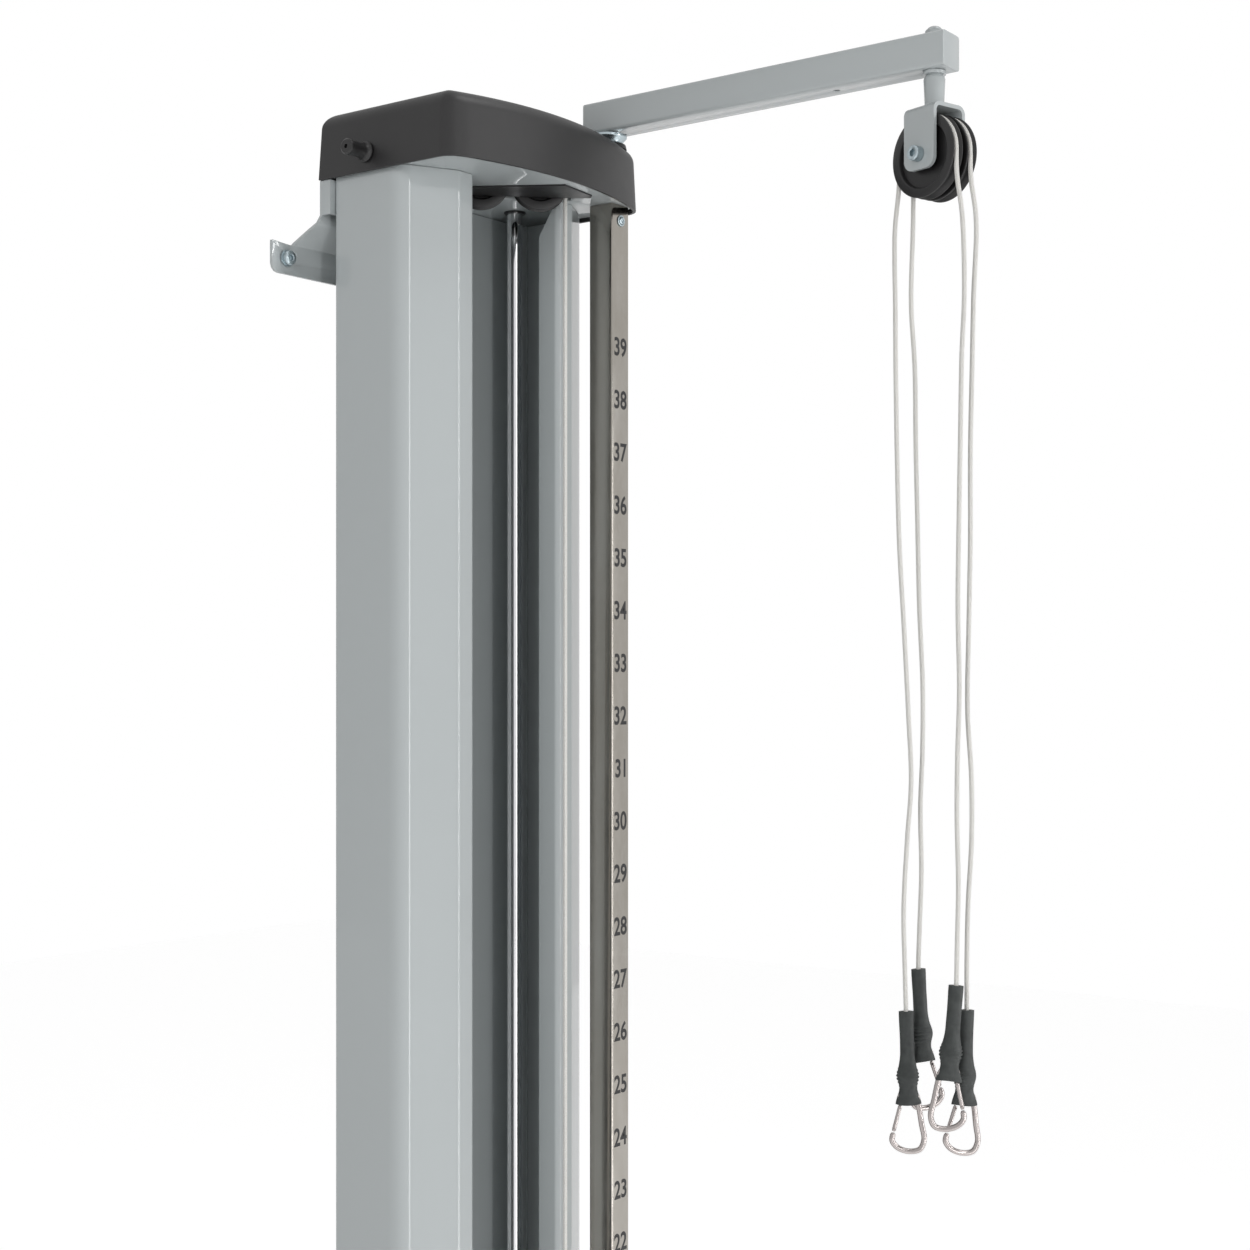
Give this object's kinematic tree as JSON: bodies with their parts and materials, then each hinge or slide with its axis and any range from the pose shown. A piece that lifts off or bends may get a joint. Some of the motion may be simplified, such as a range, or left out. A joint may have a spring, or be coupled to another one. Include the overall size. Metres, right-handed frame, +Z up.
{
  "type": "wall pulley weight stack",
  "caption": "Slim wall tower with a numbered pole, a sliding rope carriage, guided weights and a swivel arm with two hanging ropes.",
  "frame": {"origin": "middle of the upper wall bracket's back face, on the wall", "axes": "+Z up, +Y into the wall, -Y towards the user, +X to the user's right"},
  "size_m": [0.358, 0.546, 2.3115],
  "materials": {
    "grey_paint": "gloss light blue-grey powder coat",
    "black_moulding": "fine-textured charcoal moulding",
    "black_plastic": "semi-gloss black nylon",
    "stainless": "bright brushed stainless steel",
    "chrome": "polished chrome plating",
    "zinc": "bright zinc plating",
    "weight_iron": "black enamelled iron",
    "rubber": "matt black shrunk rubber",
    "rope_white": "white braided rope"
  },
  "bodies": {
    "tower": {"left_profile": "grey_paint", "right_profile": "grey_paint", "back_panel": "grey_paint", "head_plate": "grey_paint", "top_cap": "black_moulding", "accessory_peg": "black_plastic", "base_plate": "weight_iron", "base_cover": "black_moulding", "upper_wall_bracket": "grey_paint", "lower_wall_bracket": "grey_paint", "wall_bolt_upper_left": "zinc", "wall_bolt_upper_right": "zinc", "wall_bolt_lower_left": "zinc", "wall_bolt_lower_right": "zinc", "number_pole": "stainless", "pole_screw": "zinc", "guide_rod_left": "chrome", "guide_rod_right": "chrome", "weight_plate_4": "weight_iron", "weight_plate_5": "weight_iron", "weight_plate_6": "weight_iron", "pulley_bracket": "black_plastic", "rope_head": "rope_white", "rope_stack_strand": "rope_white", "rope_front_strand": "rope_white", "arm_pivot": "zinc"},
    "stack": {"lift_plate": "weight_iron", "selector_stem": "zinc", "weight_plate_1": "weight_iron", "weight_plate_2": "weight_iron", "weight_plate_3": "weight_iron"},
    "pin": {"selector_pin": "black_plastic"},
    "head_pulley_front": {"head_pulley_front": "black_plastic"},
    "head_pulley_rear": {"head_pulley_rear": "black_plastic"},
    "carriage": {"carriage_body": "black_plastic"},
    "plunger": {"lock_plunger": "black_plastic"},
    "fork": {"carriage_fork": "zinc", "rope_outlet": "rope_white", "rope_stop": "rubber"},
    "carriage_pulley": {"carriage_pulley": "black_plastic"},
    "arm": {"arm_tube": "grey_paint"},
    "yoke": {"pulley_yoke": "grey_paint", "arm_tip_nut": "zinc", "yoke_axle": "zinc", "rope_near": "rope_white", "rope_far": "rope_white", "sleeve_near_rear": "rubber", "hook_near_rear": "zinc", "sleeve_far_rear": "rubber", "hook_far_rear": "zinc", "sleeve_near_front": "rubber", "hook_near_front": "zinc", "sleeve_far_front": "rubber", "hook_far_front": "zinc"},
    "sheave_near": {"sheave_near": "black_plastic"},
    "sheave_far": {"sheave_far": "black_plastic"},
    "gate_near_rear": {"gate_near_rear": "zinc"},
    "gate_far_rear": {"gate_far_rear": "zinc"},
    "gate_near_front": {"gate_near_front": "zinc"},
    "gate_far_front": {"gate_far_front": "zinc"}
  },
  "joints": [
    {"name": "stack_lift", "type": "slide", "parent": "tower", "child": "stack", "axis": [0, 0, 1], "range_m": [0, 1.6], "deforming": ["rope_stack_strand"]},
    {"name": "selector_pin_pull", "type": "slide", "parent": "stack", "child": "pin", "axis": [0, -1, 0], "range_m": [0, 0.07]},
    {"name": "head_pulley_front_spin", "type": "hinge", "parent": "tower", "child": "head_pulley_front", "pos_m": [0.04205, -0.12892, 0.09], "axis": [0.7202, 0.6938, 0], "continuous": true},
    {"name": "head_pulley_rear_spin", "type": "hinge", "parent": "tower", "child": "head_pulley_rear", "pos_m": [0.00387, -0.08928, 0.09], "axis": [0.7202, 0.6938, 0], "continuous": true},
    {"name": "carriage_slide", "type": "slide", "parent": "tower", "child": "carriage", "axis": [0, 0, 1], "range_m": [-0.5, 1.3], "deforming": ["rope_front_strand"]},
    {"name": "lock_plunger_pull", "type": "slide", "parent": "carriage", "child": "plunger", "axis": [1, 0, 0], "range_m": [0, 0.01], "stiffness_N_per_m": 1200, "springref_m": -0.005},
    {"name": "carriage_swivel", "type": "hinge", "parent": "carriage", "child": "fork", "pos_m": [0.0587, -0.1462, -1.41], "axis": [0, 0, 1], "range_deg": [-40, 35]},
    {"name": "carriage_pulley_spin", "type": "hinge", "parent": "fork", "child": "carriage_pulley", "pos_m": [0.0587, -0.1652, -1.4489], "axis": [1, 0, 0], "continuous": true},
    {"name": "arm_swivel", "type": "hinge", "parent": "tower", "child": "arm", "pos_m": [0.109, -0.16, 0.143], "axis": [0, 0, 1], "range_deg": [-90, 90]},
    {"name": "yoke_swivel", "type": "hinge", "parent": "arm", "child": "yoke", "pos_m": [0.109, -0.506, 0.143], "axis": [0, 0, 1], "continuous": true},
    {"name": "sheave_near_spin", "type": "hinge", "parent": "yoke", "child": "sheave_near", "pos_m": [0.109, -0.506, 0.0696], "axis": [0.9588, -0.284, 0], "continuous": true},
    {"name": "sheave_far_spin", "type": "hinge", "parent": "yoke", "child": "sheave_far", "pos_m": [0.109, -0.506, 0.0696], "axis": [0.9588, -0.284, 0], "continuous": true},
    {"name": "gate_near_rear_open", "type": "hinge", "parent": "yoke", "child": "gate_near_rear", "pos_m": [0.10521, -0.4755, -0.74077], "axis": [-0.8039, -0.5948, 0], "range_deg": [0, 25], "stiffness_Nm_per_rad": 0.05, "springref_deg": -17.19},
    {"name": "gate_far_rear_open", "type": "hinge", "parent": "yoke", "child": "gate_far_rear", "pos_m": [0.13259, -0.49034, -0.70553], "axis": [0.7254, 0.6884, 0], "range_deg": [0, 25], "stiffness_Nm_per_rad": 0.05, "springref_deg": -17.19},
    {"name": "gate_near_front_open", "type": "hinge", "parent": "yoke", "child": "gate_near_front", "pos_m": [0.09171, -0.53597, -0.71161], "axis": [0.8241, 0.5664, 0], "range_deg": [0, 25], "stiffness_Nm_per_rad": 0.05, "springref_deg": -17.19},
    {"name": "gate_far_front_open", "type": "hinge", "parent": "yoke", "child": "gate_far_front", "pos_m": [0.10284, -0.52949, -0.73378], "axis": [-0.7604, -0.6494, 0], "range_deg": [0, 25], "stiffness_Nm_per_rad": 0.05, "springref_deg": -17.19}
  ],
  "couplings": [
    {"joint": "head_pulley_front_spin", "follows": "stack_lift", "rad_per_m": 41.667},
    {"joint": "head_pulley_rear_spin", "follows": "stack_lift", "rad_per_m": 41.667}
  ]
}
